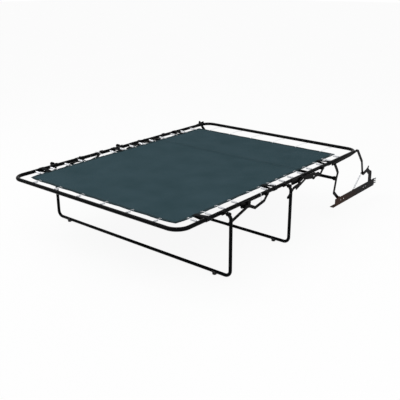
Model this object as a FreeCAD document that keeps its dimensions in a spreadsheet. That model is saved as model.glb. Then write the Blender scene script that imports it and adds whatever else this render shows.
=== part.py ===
import FreeCAD, Part
import math
import os

import Sketcher
from FreeCAD import Placement, Rotation, Vector

# Fold-out sofa bed mechanism, standing open: X across the bed, Y from the foot
# tube to the head tube, Z up from the floor. All lengths are millimetres.
SIZES = (
    ("frame_length", 1840, "foot tube to head tube, centre to centre"),
    ("frame_width", 1320, "left rail to right rail, centre to centre"),
    ("frame_height", 375, "floor to the centre of the rails"),
    ("frame_radius", 11, "radius of the frame tube"),
    ("frame_bend", 75, "bend of the frame's corners, on the tube centre"),
    ("rail_gap", 10, "space between rail ends at a fold"),
    ("foot_rail_end", 598, "where the foot rails end"),
    ("mid_rail_end", 1205, "where the middle rails end"),
    ("foot_pivot", 535, "fold pin on the foot rails"),
    ("mid_front_pivot", 716, "front fold pin on the middle rails"),
    ("mid_rear_pivot", 1080, "rear fold pin on the middle rails"),
    ("head_pivot", 1334, "fold pin on the head rails"),
    ("plate", 3, "thickness of plates, straps and links"),
    ("seat_gap", 0.3, "room between a seated piece and its seat"),
    ("side_gap", 5, "room between straps that pass each other"),
    ("pin_radius", 5, "radius of the fold and leg pins"),
    ("pin_gap", 0.3, "room round a pin in its hole"),
    ("pin_stand", 0.4, "room between a strap and the head of its pin"),
    ("head_radius", 8.5, "radius of a pin's head"),
    ("head_tall", 1.6, "height of a pin's head"),
    ("open_gap", 2.6, "room left at a pivot that is not joined"),
    ("strap_half", 9, "half width of the fold links"),
    ("brace_half", 9, "half width of the braces"),
    ("plate_half", 16, "half width of the large hinge plates"),
    ("plate_drop", 8, "large hinge plates' middle below the rails' centre"),
    ("tab_half", 11, "half width of the small hinge plates"),
    ("tab_reach", 9, "small hinge plate's round end from its pin"),
    ("plate_tail", 45, "long end of a hinge plate from its pin"),
    ("leg_radius", 9.5, "radius of the leg tube"),
    ("leg_bend", 34, "bend of the leg's corners, on the tube centre"),
    ("leg_bar", 18, "floor to the centre of the leg's bottom bar"),
    ("foot_leg_pin", 329, "pin of the foot leg"),
    ("mid_leg_pin", 900, "pin of the middle leg"),
    ("leg_crank", 20, "how far the leg stands behind its pin"),
    ("crank_rise", 28, "height over which the leg is cranked"),
    ("crank_bend", 24, "bend of the crank, on the tube centre"),
    ("foot_brace_drop", 65, "foot brace pin below the leg pin"),
    ("mid_brace_drop", 78, "middle brace pin below the leg pin"),
    ("mid_brace_knee", 55, "middle brace's knee behind its pin"),
    ("mid_brace_rise", 42, "the same, above the pin"),
    ("brace_pin_radius", 4, "radius of the pins at a brace"),
    ("foot_arm_y", -27, "foot brace end from its fold pin, along the bed"),
    ("foot_arm_z", -18, "foot brace end from its fold pin, upwards"),
    ("mid_arm_y", -33, "middle brace end from its fold pin, along the bed"),
    ("mid_arm_z", -25, "middle brace end from its fold pin, upwards"),
    ("eye_radius", 11.5, "outside of the eye at the top of a leg"),
    ("glide_x", 600, "glides from the middle of the bed"),
    ("glide_radius", 12, "radius of a glide"),
    ("toe_y", 13, "foot fold link's toe behind the foot fold pin"),
    ("toe_drop", 24, "foot fold link's toe below the pins"),
    ("elbow_y", 63, "foot fold link's elbow behind the foot fold pin"),
    ("elbow_drop", 48, "foot fold link's elbow below the pins"),
    ("knee_y", 32, "foot fold link's knee ahead of its rear pin"),
    ("knee_drop", 32, "foot fold link's knee below the pins"),
    ("waist_y", 60, "middle fold link's waist behind its front pin"),
    ("waist_drop", 10, "middle fold link's waist below the pins"),
    ("spur_y", -59, "tip of the middle fold link's spur from its front pin"),
    ("spur_drop", 53, "the same, below the pins"),
    ("spur_half", 7, "half width of the spur"),
    ("lobe_y", 141, "middle fold link's lobe behind its front pin"),
    ("lobe_drop", 23, "middle fold link's lobe below the pins"),
    ("lobe_radius", 23, "radius of the lobe"),
    ("lobe_hole", 6, "radius of the hole in the lobe"),
    ("body_half", 16, "half width of the middle fold link ahead of its lobe"),
    ("shoulder_y", 64, "middle fold link's shoulder ahead of its rear pin"),
    ("shoulder_drop", 24, "middle fold link's shoulder below the pins"),
    ("shoulder_half", 14, "half width of the middle fold link at its shoulder"),
    ("heel_y", 34, "middle fold link's heel ahead of its rear pin"),
    ("heel_drop", 32, "middle fold link's heel below the pins"),
    ("front_low_y", 1533, "front lift pivot on the mount rail"),
    ("front_low_z", 128, "front lift pivot above the floor"),
    ("front_top_y", 1468, "front lift pivot on the head strap"),
    ("front_top_drop", 10, "the same, below the rails"),
    ("rear_low_y", 1883, "rear lift pivot on its bracket"),
    ("rear_low_z", 207, "the same, above the floor"),
    ("rear_top_y", 1785, "rear lift pivot on the head strap"),
    ("rear_top_rise", 11, "the same, above the rails"),
    ("strap_bend_y", 1710, "bend of the head strap"),
    ("strap_bend_drop", 3, "the same, below the rails"),
    ("strap_end_y", 1806, "rear end of the head strap"),
    ("strap_end_rise", 9, "the same, above the rails"),
    ("head_strap_half", 9, "half width of the head strap"),
    ("lift_half", 11, "half width of the lift links"),
    ("upper_knee_y", 1500, "front link's upper knee"),
    ("upper_knee_drop", 52, "the same, below the rails"),
    ("lower_knee_y", 1477, "front link's lower knee"),
    ("lower_knee_z", 175, "the same, above the floor"),
    ("cross_y", 1498, "cross tube between the front links"),
    ("cross_z", 265, "the same, above the floor"),
    ("cross_radius", 10, "radius of the cross tube"),
    ("mount_front", 1484, "front end of the mount rails"),
    ("mount_rear", 2060, "rear end of the mount rails"),
    ("mount_low", 77, "underside of the mount rails"),
    ("mount_tall", 52, "height of the mount rail's web"),
    ("mount_flange", 26, "width of the mount rail's flange"),
    ("lug_half", 11, "half width of the lug at the front pivot"),
    ("neck_half", 12, "half width of the rear bracket"),
    ("foot_half", 24, "half width of the rear bracket's foot"),
    ("neck_mid_half", 16, "half width of the rear bracket below its top"),
    ("neck_foot_y", 1994, "rear bracket's foot on the rail"),
    ("neck_bend_y", 1990, "rear bracket's bend"),
    ("neck_bend_z", 180, "the same, above the floor"),
    ("neck_top_y", 1940, "rear bracket's top"),
    ("neck_top_z", 220, "the same, above the floor"),
    ("horn_y", 1954, "tip of the rear bracket's horn"),
    ("horn_z", 240, "the same, above the floor"),
    ("horn_half", 7, "half width of the horn"),
    ("bulge_y", 1512, "front link's bulge above the cross tube"),
    ("bulge_z", 303, "the same, above the floor"),
    ("rear_knee_y", 1858, "rear link's knee"),
    ("rear_knee_z", 299, "the same, above the floor"),
    ("tongue", 22, "how far the mount rail's flange runs ahead of its web"),
    ("stud_radius", 3.5, "radius of the studs at the mount rail's end"),
    ("stud_reach", 38, "how far the studs stand out of the rail"),
    ("stud_low", 12, "lowest stud above the rail's underside"),
    ("stud_step", 15, "spacing of the studs"),
    ("stud_in", 2, "stud centre inside the web's inner face"),
    ("bolt_radius", 5.5, "radius of the mounting holes"),
    ("bolt_front_y", 1562, "first mounting hole"),
    ("bolt_rear_y", 1892, "third mounting hole"),
    ("bolt_step", 38, "spacing of a pair of mounting holes"),
    ("bolt_z", 104, "mounting holes above the floor"),
    ("spring_radius", 4, "outside radius of the lift spring"),
    ("spring_wire", 1.2, "radius of the spring's wire"),
    ("spring_post_y", 1776, "spring post on the mount rail"),
    ("spring_post_z", 115, "the same, above the floor"),
    ("deck_gap", 76, "rail centre to the deck's side edge"),
    ("deck_thick", 3, "thickness of the deck with its hem"),
    ("deck_front", 60, "foot tube to the deck's front edge"),
    ("deck_rear_gap", 180, "head tube to the deck's rear edge"),
    ("deck_foot_end", 586, "where the foot panel ends"),
    ("deck_mid_start", 640, "where the middle panel starts"),
    ("deck_mid_end", 1160, "where the middle panel ends"),
    ("deck_head_start", 1254, "where the head panel starts"),
    ("hook_radius", 2, "radius of a deck hook's wire"),
    ("coil_radius", 4.8, "outside radius of a deck spring's coil"),
    ("hook_inset", 104, "first end hook from the deck's corner"),
    ("hook_lead", 12, "hook wire between the deck and its coil"),
    ("hook_tail", 12, "hook wire between its coil and the tube"),
    ("foot_hook_start", 157, "first side hook on the foot rails"),
    ("foot_hook_step", 111, "spacing of the foot rails' hooks"),
    ("mid_hook_start", 768, "first side hook on the middle rails"),
    ("mid_hook_step", 92, "spacing of the middle rails' hooks"),
    ("head_hook_start", 1384, "first side hook on the head rails"),
    ("head_hook_step", 114, "spacing of the head rails' hooks"),
    ("origin_y", 1800, "mounting face's reference point along the bed"),
    ("origin_z", 107, "the same, above the floor"),
)

END_HOOKS = 6
FOOT_HOOKS, MID_HOOKS, HEAD_HOOKS = 4, 4, 3
STUDS = 3
SIDES = (("left", -1), ("right", 1))

doc = FreeCAD.newDocument("sofa_bed")
sheet = doc.addObject("Spreadsheet::Sheet", "sizes")
for row, (alias, value, note) in enumerate(SIZES, 1):
    sheet.set(f"A{row}", alias)
    sheet.set(f"B{row}", str(value))
    sheet.setAlias(f"B{row}", alias)
    sheet.set(f"C{row}", note)
doc.recompute()


class Size:
    """A length with the sheet expression that it comes from."""

    def __init__(self, value, text):
        self.value = value
        self.text = text

    def __add__(self, other):
        other = as_size(other)
        return Size(self.value + other.value, f"({self.text} + {other.text})")

    def __sub__(self, other):
        other = as_size(other)
        return Size(self.value - other.value, f"({self.text} - {other.text})")

    def __mul__(self, factor):
        return Size(self.value * factor, f"({self.text} * {factor})")

    def __neg__(self):
        return Size(-self.value, f"(-{self.text})")


def as_size(number):
    return number if isinstance(number, Size) else Size(number, str(number))


class Sizes:
    """The sheet's cells by name."""

    def __getattr__(self, alias):
        return Size(float(sheet.get(alias)), f"{sheet.Name}.{alias}")


s = Sizes()

# Layers outwards from the rails: fixed plates, fold links, braces, legs. The
# lift links, their brackets and the mount rails stand outside the fold links.
rail_x = s.frame_width * 0.5
plate_x = rail_x + s.frame_radius + s.seat_gap
link_x = plate_x + s.plate + s.side_gap
brace_x = link_x + s.plate + s.side_gap
leg_x = brace_x + s.plate + s.side_gap + s.leg_radius
lift_x = brace_x + s.plate
neck_x = lift_x + s.plate + s.side_gap
web_x = neck_x + s.plate
face_x = web_x + s.plate
spring_x = link_x + s.spring_radius
deck_half = rail_x - s.deck_gap
deck_rear = s.frame_length - s.deck_rear_gap
hole_radius = s.pin_radius + s.pin_gap
brace_hole = s.brace_pin_radius + s.pin_gap

foot_pin = (s.foot_pivot, s.frame_height)
mid_front_pin = (s.mid_front_pivot, s.frame_height)
mid_rear_pin = (s.mid_rear_pivot, s.frame_height)
head_pin = (s.head_pivot, s.frame_height)
front_low = (s.front_low_y, s.front_low_z)
front_top = (s.front_top_y, s.frame_height - s.front_top_drop)
rear_low = (s.rear_low_y, s.rear_low_z)
rear_top = (s.rear_top_y, s.frame_height + s.rear_top_rise)

parts = []


def place(thing, x=as_size(0), y=as_size(0), z=as_size(0), turn=Rotation()):
    """Set a piece at a point of the bed, measured from the mounting face."""
    thing.Placement = Placement(Vector(0, 0, 0), turn)
    for axis, at in (("x", x - face_x), ("y", y - s.origin_y), ("z", z - s.origin_z)):
        thing.setExpression(f"Placement.Base.{axis}", at.text)


def keep(thing, label):
    thing.Label = label
    parts.append(thing)
    return thing


def new_body(label):
    body = doc.addObject("PartDesign::Body", label)
    return keep(body, label)


def new_sketch(body, plane, offset=None):
    sketch = body.newObject("Sketcher::SketchObject", "outline")
    support = [item for item in body.Origin.OriginFeatures if item.Role == plane][0]
    sketch.AttachmentSupport = (support, [""])
    sketch.MapMode = "FlatFace"
    if offset is not None:
        sketch.setExpression("AttachmentOffset.Base.z", offset.text)
    return sketch


def bind(sketch, constraint, length):
    index = sketch.addConstraint(constraint)
    sketch.setExpression(f"Constraints[{index}]", length.text)


def bind_point(sketch, geometry, corner, at):
    """Fix a point of a sketch at two lengths from the sketch's origin."""
    for kind, length in zip(("DistanceX", "DistanceY"), at):
        bind(sketch, Sketcher.Constraint(kind, -1, 1, geometry, corner, length.value), length)


def add_circle(sketch, at, radius):
    centre = Vector(at[0].value, at[1].value, 0)
    index = sketch.addGeometry(Part.Circle(centre, Vector(0, 0, 1), radius.value))
    bind(sketch, Sketcher.Constraint("Radius", index, radius.value), radius)
    bind_point(sketch, index, 3, at)


def add_slot(sketch, start, end, half):
    """A slot with round ends about two points."""
    one = Vector(start[0].value, start[1].value, 0)
    two = Vector(end[0].value, end[1].value, 0)
    lean = math.atan2(two.y - one.y, two.x - one.x)
    side = Vector(-math.sin(lean), math.cos(lean), 0) * half.value
    up = Vector(0, 0, 1)
    quarter = math.pi / 2
    first = sketch.addGeometry([
        Part.ArcOfCircle(Part.Circle(one, up, half.value), lean + quarter, lean + 3 * quarter),
        Part.LineSegment(one - side, two - side),
        Part.ArcOfCircle(Part.Circle(two, up, half.value), lean - quarter, lean + quarter),
        Part.LineSegment(two + side, one + side),
    ])[0]
    for step in range(4):
        after = first + (step + 1) % 4
        sketch.addConstraint(Sketcher.Constraint("Tangent", first + step, 2, after, 1))
    bind(sketch, Sketcher.Constraint("Radius", first, half.value), half)
    bind_point(sketch, first, 3, start)
    bind_point(sketch, first + 2, 3, end)


def add_rectangle(sketch, low, high):
    """A rectangle between two corners."""
    corners = [low, (high[0], low[1]), high, (low[0], high[1])]
    spots = [Vector(at[0].value, at[1].value, 0) for at in corners]
    first = sketch.addGeometry([
        Part.LineSegment(start, end) for start, end in zip(spots, spots[1:] + spots[:1])
    ])[0]
    for step, at in enumerate(corners):
        sketch.addConstraint(Sketcher.Constraint("Coincident", first + step, 2, first + (step + 1) % 4, 1))
        bind_point(sketch, first + step, 1, at)


def pad(body, sketch, length):
    feature = body.newObject("PartDesign::Pad", "pad")
    feature.Profile = sketch
    feature.setExpression("Length", length.text)
    sketch.Visibility = False
    return feature


def strap(label, side, layer, path, half, holes=(), pins=(), spurs=(), lobes=()):
    """A flat strap through points of the bed's side, with its holes and pins.

    layer is its inner face. A hole or lobe is (point, radius), a spur is (point,
    point, half width), and a pin is (point, radius, from, to), in distances from
    the middle of the bed.
    """
    body = new_body(label)
    runs = [(start, end, half) for start, end in zip(path, path[1:])] + list(spurs)
    for start, end, width in runs:
        sketch = new_sketch(body, "YZ_Plane")
        add_slot(sketch, start, end, width)
        pad(body, sketch, s.plate)
    for at, radius in lobes:
        sketch = new_sketch(body, "YZ_Plane")
        add_circle(sketch, at, radius)
        pad(body, sketch, s.plate)
    if holes:
        sketch = new_sketch(body, "YZ_Plane")
        for at, radius in holes:
            add_circle(sketch, at, radius)
        pocket = body.newObject("PartDesign::Pocket", "holes")
        pocket.Profile = sketch
        pocket.Type = "ThroughAll"
        pocket.Midplane = True
    for at, radius, near, far in pins:
        offset = near - layer if side > 0 else layer + s.plate - far
        sketch = new_sketch(body, "YZ_Plane", offset)
        add_circle(sketch, at, radius)
        pad(body, sketch, far - near)
    place(body, x=layer if side > 0 else -(layer + s.plate))
    return body


def bent_path(sketch, points, bend):
    """A run of lines through points, with an arc of one radius at each turn."""
    spots = [Vector(at[0].value, at[1].value, 0) for at in points]
    runs = len(spots) - 1
    starts, ends, arcs = [spots[0]], [], []
    for before, corner, after in zip(spots, spots[1:], spots[2:]):
        into = (corner - before).normalize()
        out = (after - corner).normalize()
        turn = into.getAngle(out)
        reach = bend.value * math.tan(turn / 2)
        centre_way = (out - into).normalize()
        centre = corner + centre_way * (bend.value / math.cos(turn / 2))
        middle = centre - centre_way * bend.value
        ends.append(corner - into * reach)
        starts.append(corner + out * reach)
        arcs.append(Part.Arc(ends[-1], middle, starts[-1]))
    ends.append(spots[-1])
    for index in range(runs):
        sketch.addGeometry(Part.LineSegment(starts[index], ends[index]))
        if index < runs - 1:
            sketch.addGeometry(arcs[index])
    return [f"Edge{number + 1}" for number in range(2 * runs - 1)]


def pipe(body, path_plane, path_offset, points, bend, ring_plane, ring_offset, ring_at, radius):
    path = new_sketch(body, path_plane, path_offset)
    edges = bent_path(path, points, bend)
    ring = new_sketch(body, ring_plane, ring_offset)
    add_circle(ring, ring_at, radius)
    feature = body.newObject("PartDesign::AdditivePipe", "tube")
    feature.Profile = ring
    feature.Spine = (path, edges)
    path.Visibility = False
    ring.Visibility = False
    return feature


def u_frame(label, open_end, closed_end):
    """A section's tube: two rails joined round one end of the bed."""
    body = new_body(label)
    points = [(-rail_x, open_end), (-rail_x, closed_end), (rail_x, closed_end), (rail_x, open_end)]
    pipe(body, "XY_Plane", s.frame_height, points, s.frame_bend,
         "XZ_Plane", -open_end, (-rail_x, s.frame_height), s.frame_radius)
    place(body)
    return body


def headed_pin(at, start, end):
    """A pin with a head just outside the last strap on it."""
    stand = end + s.pin_stand
    return [(at, s.pin_radius, start, stand), (at, s.head_radius, stand, stand + s.head_tall)]


def leg(label, pin_y, brace_drop):
    """A U-shaped leg, cranked at the top up to an eye on each side."""
    body = new_body(label)
    stand_y = pin_y + s.leg_crank
    knee_z = s.frame_height - s.crank_rise
    join_z = knee_z - s.crank_bend
    points = [(-leg_x, join_z), (-leg_x, s.leg_bar), (leg_x, s.leg_bar), (leg_x, join_z)]
    pipe(body, "XZ_Plane", -stand_y, points, s.leg_bend,
         "XY_Plane", join_z, (-leg_x, stand_y), s.leg_radius)
    for _, side in SIDES:
        x = leg_x * side
        crank = [(stand_y, join_z), (stand_y, knee_z), (pin_y, s.frame_height)]
        pipe(body, "YZ_Plane", x, crank, s.crank_bend,
             "XY_Plane", join_z, (x, stand_y), s.leg_radius)
        eye = new_sketch(body, "YZ_Plane", x - s.leg_radius)
        add_circle(eye, (pin_y, s.frame_height), s.eye_radius)
        pad(body, eye, s.leg_radius * 2)
        stand = brace_x - s.pin_stand
        for radius, near, far in ((s.brace_pin_radius, stand, leg_x),
                                  (s.head_radius, stand - s.head_tall, stand)):
            brace_pin = new_sketch(body, "YZ_Plane", near if side > 0 else -far)
            add_circle(brace_pin, (stand_y, s.frame_height - brace_drop), radius)
            pad(body, brace_pin, far - near)
    bores = new_sketch(body, "YZ_Plane")
    add_circle(bores, (pin_y, s.frame_height), hole_radius)
    pocket = body.newObject("PartDesign::Pocket", "bores")
    pocket.Profile = bores
    pocket.Type = "ThroughAll"
    pocket.Midplane = True
    place(body)
    return body


def rod(name, start_axis, radius, length, x, y, z):
    """A plain round bar along one axis of the bed."""
    turns = {"X": Rotation(Vector(0, 1, 0), 90), "Y": Rotation(Vector(1, 0, 0), -90), "Z": Rotation()}
    bar = doc.addObject("Part::Cylinder", name)
    bar.setExpression("Radius", radius.text)
    bar.setExpression("Height", length.text)
    place(bar, x, y, z, turns[start_axis])
    return bar


def group(label, members):
    """Like pieces on one body, as solids that do not touch."""
    together = doc.addObject("Part::Compound", label)
    together.Links = members
    return keep(together, label)


def panel(label, start, end):
    """One stretch of the fabric deck."""
    sheet_box = keep(doc.addObject("Part::Box", label), label)
    sheet_box.setExpression("Length", (deck_half * 2).text)
    sheet_box.setExpression("Width", (end - start).text)
    sheet_box.setExpression("Height", s.deck_thick.text)
    place(sheet_box, -deck_half, start, s.frame_height - s.deck_thick * 0.5)


def spring_hook(wire, axis, reach, x, y, lead, tail):
    """A hook's wire with its close coil as one round bar on it."""
    steps = {"X": (lead, as_size(0)), "Y": (as_size(0), lead)}
    coil = rod("coil", axis, s.coil_radius, reach - lead - tail, x + steps[axis][0],
               y + steps[axis][1], s.frame_height)
    hook = doc.addObject("Part::Fuse", "deck_spring")
    hook.Base = wire
    hook.Tool = coil
    return hook


def side_hooks(start, step, count):
    """Spring hooks from both rails to the deck's side edges."""
    reach = s.deck_gap - s.frame_radius - s.seat_gap * 2
    hooks = []
    for _, side in SIDES:
        near = deck_half + s.seat_gap if side > 0 else -(deck_half + s.seat_gap + reach)
        lead, tail = (s.hook_lead, s.hook_tail) if side > 0 else (s.hook_tail, s.hook_lead)
        for number in range(count):
            y = start + step * number
            wire = rod("hook", "X", s.hook_radius, reach, near, y, s.frame_height)
            hooks.append(spring_hook(wire, "X", reach, near, y, lead, tail))
    return hooks


def end_hooks(near, reach, coiled):
    """Hooks from an end tube to the deck's end."""
    step = (deck_half - s.hook_inset) * (2 / (END_HOOKS - 1))
    hooks = []
    for number in range(END_HOOKS):
        x = s.hook_inset - deck_half + step * number
        wire = rod("hook", "Y", s.hook_radius, reach, x, near, s.frame_height)
        if coiled:
            wire = spring_hook(wire, "Y", reach, x, near, s.hook_tail, s.hook_lead)
        hooks.append(wire)
    return hooks


def hinge_plate(label, side, pin, back, ahead, drop, half):
    """A plate on a rail that carries a fold pin."""
    path = [(pin[0] - back, pin[1] - drop), (pin[0] + ahead, pin[1] - drop)]
    pins = headed_pin(pin, plate_x, link_x + s.plate)
    return strap(label, side, plate_x, path, half, pins=pins)


def leg_brackets(label, pin_y):
    """The plates on both rails that carry a leg's pins."""
    pin = (pin_y, s.frame_height)
    path = [(pin_y - s.tab_reach, pin[1]), (pin_y + s.tab_reach, pin[1])]
    pins = headed_pin(pin, plate_x, leg_x + s.leg_radius)
    pair = [strap(f"{name}_{label}", side, plate_x, path, s.tab_half, pins=pins)
            for name, side in SIDES]
    for plate in pair:
        parts.remove(plate)
    return group(label, pair)


def brace(label, side, low, knees, top):
    """A brace from a leg to the arm of a fold link, which its stub just misses."""
    stub = (top, s.brace_pin_radius, link_x + s.plate + s.open_gap, brace_x)
    return strap(label, side, brace_x, [low, *knees, top], s.brace_half, [(low, brace_hole)], [stub])


# Sections
u_frame("foot_frame", s.foot_rail_end, as_size(0))
u_frame("head_frame", s.mid_rail_end + s.rail_gap, s.frame_length)
for name, side in SIDES:
    start = s.foot_rail_end + s.rail_gap
    rail = rod(f"{name}_mid_rail", "Y", s.frame_radius, s.mid_rail_end - start,
               rail_x * side, start, s.frame_height)
    keep(rail, f"{name}_mid_rail")

# Plates on the rails
large = (s.plate_drop, s.plate_half)
small = (s.tab_reach, s.tab_reach, as_size(0), s.tab_half)
for name, side in SIDES:
    hinge_plate(f"{name}_foot_hinge_plate", side, foot_pin, s.plate_tail, s.plate_half, *large)
    hinge_plate(f"{name}_mid_front_plate", side, mid_front_pin, *small)
    hinge_plate(f"{name}_mid_rear_plate", side, mid_rear_pin, s.plate_tail * 2, s.tab_reach, *large)
    hinge_plate(f"{name}_head_hinge_plate", side, head_pin, *small)
leg_brackets("foot_leg_brackets", s.foot_leg_pin)
leg_brackets("mid_leg_brackets", s.mid_leg_pin)

# Fold links, which keep the folded sections apart
foot_arm = (s.foot_pivot + s.foot_arm_y, s.frame_height + s.foot_arm_z)
toe = (s.foot_pivot + s.toe_y, s.frame_height - s.toe_drop)
elbow = (s.foot_pivot + s.elbow_y, s.frame_height - s.elbow_drop)
knee = (s.mid_front_pivot - s.knee_y, s.frame_height - s.knee_drop)
mid_arm = (s.mid_rear_pivot + s.mid_arm_y, s.frame_height + s.mid_arm_z)
waist = (s.mid_rear_pivot + s.waist_y, s.frame_height - s.waist_drop)
spur = (s.mid_rear_pivot + s.spur_y, s.frame_height - s.spur_drop)
lobe = (s.mid_rear_pivot + s.lobe_y, s.frame_height - s.lobe_drop)
shoulder = (s.head_pivot - s.shoulder_y, s.frame_height - s.shoulder_drop)
heel = (s.head_pivot - s.heel_y, s.frame_height - s.heel_drop)
for name, side in SIDES:
    strap(f"{name}_foot_fold_link", side, link_x, [foot_pin, toe, elbow, knee, mid_front_pin],
          s.strap_half, [(foot_pin, hole_radius), (mid_front_pin, hole_radius)],
          spurs=[(foot_arm, toe, s.strap_half)])
    strap(f"{name}_mid_fold_link", side, link_x, [mid_arm, mid_rear_pin, waist], s.strap_half,
          [(mid_rear_pin, hole_radius), (head_pin, hole_radius), (lobe, s.lobe_hole)],
          spurs=[(waist, spur, s.spur_half), (waist, lobe, s.body_half),
                 (lobe, shoulder, s.shoulder_half), (shoulder, heel, s.strap_half),
                 (heel, head_pin, s.strap_half)],
          lobes=[(lobe, s.lobe_radius)])

# Legs with their braces and glides
for name, pin_y, drop in (("foot", s.foot_leg_pin, s.foot_brace_drop),
                          ("mid", s.mid_leg_pin, s.mid_brace_drop)):
    leg(f"{name}_leg", pin_y, drop)
    glides = [rod("glide", "Z", s.glide_radius, s.leg_bar - s.leg_radius - s.seat_gap,
                  s.glide_x * side, pin_y + s.leg_crank, as_size(0)) for _, side in SIDES]
    group(f"{name}_leg_glides", glides)
foot_low = (s.foot_leg_pin + s.leg_crank, s.frame_height - s.foot_brace_drop)
mid_low = (s.mid_leg_pin + s.leg_crank, s.frame_height - s.mid_brace_drop)
mid_knee = (mid_low[0] + s.mid_brace_knee, mid_low[1] + s.mid_brace_rise)
for name, side in SIDES:
    brace(f"{name}_foot_brace", side, foot_low, [], foot_arm)
    brace(f"{name}_mid_brace", side, mid_low, [mid_knee], mid_arm)

# Lift linkage between the head section and the mount rails
for name, side in SIDES:
    strap(f"{name}_head_strap", side, plate_x, [
        front_top, (s.strap_bend_y, s.frame_height - s.strap_bend_drop),
        (s.strap_end_y, s.frame_height + s.strap_end_rise)], s.head_strap_half,
          pins=headed_pin(front_top, plate_x, lift_x + s.plate))
    bends = [(s.upper_knee_y, s.frame_height - s.upper_knee_drop), (s.bulge_y, s.bulge_z),
             (s.cross_y, s.cross_z), (s.lower_knee_y, s.lower_knee_z)]
    strap(f"{name}_front_link", side, lift_x, [front_top, *bends, front_low],
          s.lift_half, [(front_top, hole_radius), (front_low, hole_radius)])
    rear_knee = (s.rear_knee_y, s.rear_knee_z)
    strap(f"{name}_rear_link", side, lift_x, [rear_top, rear_knee, rear_low], s.lift_half,
          [(rear_low, hole_radius)],
          [(rear_top, s.pin_radius, plate_x + s.plate + s.open_gap, lift_x)])
keep(rod("cross_tube", "X", s.cross_radius, (lift_x - s.seat_gap) * 2,
         s.seat_gap - lift_x, s.cross_y, s.cross_z), "cross_tube")


def mount_rail(label, side):
    """An angle with a lug for the front pivot, posts, studs and mounting holes."""
    top = s.mount_low + s.mount_tall
    body = new_body(label)
    web = new_sketch(body, "YZ_Plane")
    add_rectangle(web, (s.mount_front, s.mount_low), (s.mount_rear, top))
    pad(body, web, s.plate)
    lug = new_sketch(body, "YZ_Plane")
    add_slot(lug, front_low, (s.front_low_y, s.mount_low + s.lug_half), s.lug_half)
    pad(body, lug, s.plate)
    flange = new_sketch(body, "YZ_Plane", as_size(0) if side < 0 else s.plate - s.mount_flange)
    add_rectangle(flange, (s.mount_front - s.tongue, s.mount_low),
                  (s.mount_rear, s.mount_low + s.plate))
    pad(body, flange, s.mount_flange)
    stud_x = -s.stud_in if side > 0 else s.plate + s.stud_in
    studs = new_sketch(body, "XZ_Plane", -(s.mount_rear + s.stud_reach))
    for number in range(STUDS):
        add_circle(studs, (stud_x, s.mount_low + s.stud_low + s.stud_step * number), s.stud_radius)
    pad(body, studs, s.stud_reach * 2)
    holes = new_sketch(body, "YZ_Plane")
    for first in (s.bolt_front_y, s.bolt_rear_y):
        for step in (as_size(0), s.bolt_step):
            add_circle(holes, (first + step, s.bolt_z), s.bolt_radius)
    pocket = body.newObject("PartDesign::Pocket", "bolt_holes")
    pocket.Profile = holes
    pocket.Type = "ThroughAll"
    pocket.Midplane = True
    stand = lift_x - s.pin_stand
    posts = ((front_low, s.pin_radius, stand, face_x),
             (front_low, s.head_radius, stand - s.head_tall, stand),
             ((s.spring_post_y, s.spring_post_z), s.brace_pin_radius, link_x, face_x))
    for at, radius, near, far in posts:
        post = new_sketch(body, "YZ_Plane", near - web_x if side > 0 else face_x - far)
        add_circle(post, at, radius)
        pad(body, post, far - near)
    place(body, x=web_x if side > 0 else -face_x)
    return body


def lift_spring(label, side):
    """The lift spring's coil as one round bar between its two eyes."""
    post = Vector(0, s.spring_post_y.value, s.spring_post_z.value)
    pin = Vector(0, s.rear_low_y.value, s.rear_low_z.value)
    way = (pin - post).normalize()
    wire = s.spring_wire.value
    low_eye = s.brace_pin_radius.value + s.seat_gap.value + wire
    top_eye = s.pin_radius.value + s.seat_gap.value + wire
    coil_start = post + way * low_eye
    coil = Part.makeCylinder(s.spring_radius.value, (pin - post).Length - low_eye - top_eye,
                             coil_start, way)
    eyes = [Part.makeTorus(low_eye, wire, post, Vector(1, 0, 0)),
            Part.makeTorus(top_eye, wire, pin, Vector(1, 0, 0))]
    spring = doc.addObject("Part::Feature", label)
    spring.Shape = coil.fuse(eyes)
    place(spring, x=spring_x * side)
    return keep(spring, label)


for name, side in SIDES:
    mount_rail(f"{name}_mount_rail", side)
    foot = (s.neck_foot_y, s.mount_low + s.plate + s.seat_gap + s.foot_half)
    bend = (s.neck_bend_y, s.neck_bend_z)
    crown = (s.neck_top_y, s.neck_top_z)
    strap(f"{name}_rear_bracket", side, neck_x, [rear_low, crown], s.neck_half,
          pins=[(rear_low, s.pin_radius, link_x, neck_x + s.plate)],
          spurs=[(foot, bend, s.foot_half), (bend, crown, s.neck_mid_half),
                 (crown, (s.horn_y, s.horn_z), s.horn_half)])
    lift_spring(f"{name}_lift_spring", side)

# Fabric deck and the hooks that hold it
panel("foot_deck", s.deck_front, s.deck_foot_end)
panel("mid_deck", s.deck_mid_start, s.deck_mid_end)
panel("head_deck", s.deck_head_start, deck_rear)
front_reach = s.deck_front - s.frame_radius - s.seat_gap * 2
rear_reach = s.deck_rear_gap - s.frame_radius - s.seat_gap * 2
group("foot_hooks", end_hooks(s.frame_radius + s.seat_gap, front_reach, True)
      + side_hooks(s.foot_hook_start, s.foot_hook_step, FOOT_HOOKS))
group("mid_hooks", side_hooks(s.mid_hook_start, s.mid_hook_step, MID_HOOKS))
group("head_hooks", end_hooks(deck_rear + s.seat_gap, rear_reach, False)
      + side_hooks(s.head_hook_start, s.head_hook_step, HEAD_HOOKS))

doc.recompute()
for thing in doc.Objects:
    if "Invalid" in thing.State or "Error" in thing.State:
        raise RuntimeError(f"{thing.Label} did not build: {thing.State}")
os.makedirs("parts", exist_ok=True)
for part in parts:
    if part.Shape.isNull() or not part.Shape.isValid():
        raise RuntimeError(f"{part.Label} has no valid shape")
for part in parts:
    part.Shape.exportStep(f"parts/{part.Label}.step")
print(len(parts), "sub-parts")
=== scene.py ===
import math

import bpy
from mathutils import Matrix, Vector


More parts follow.
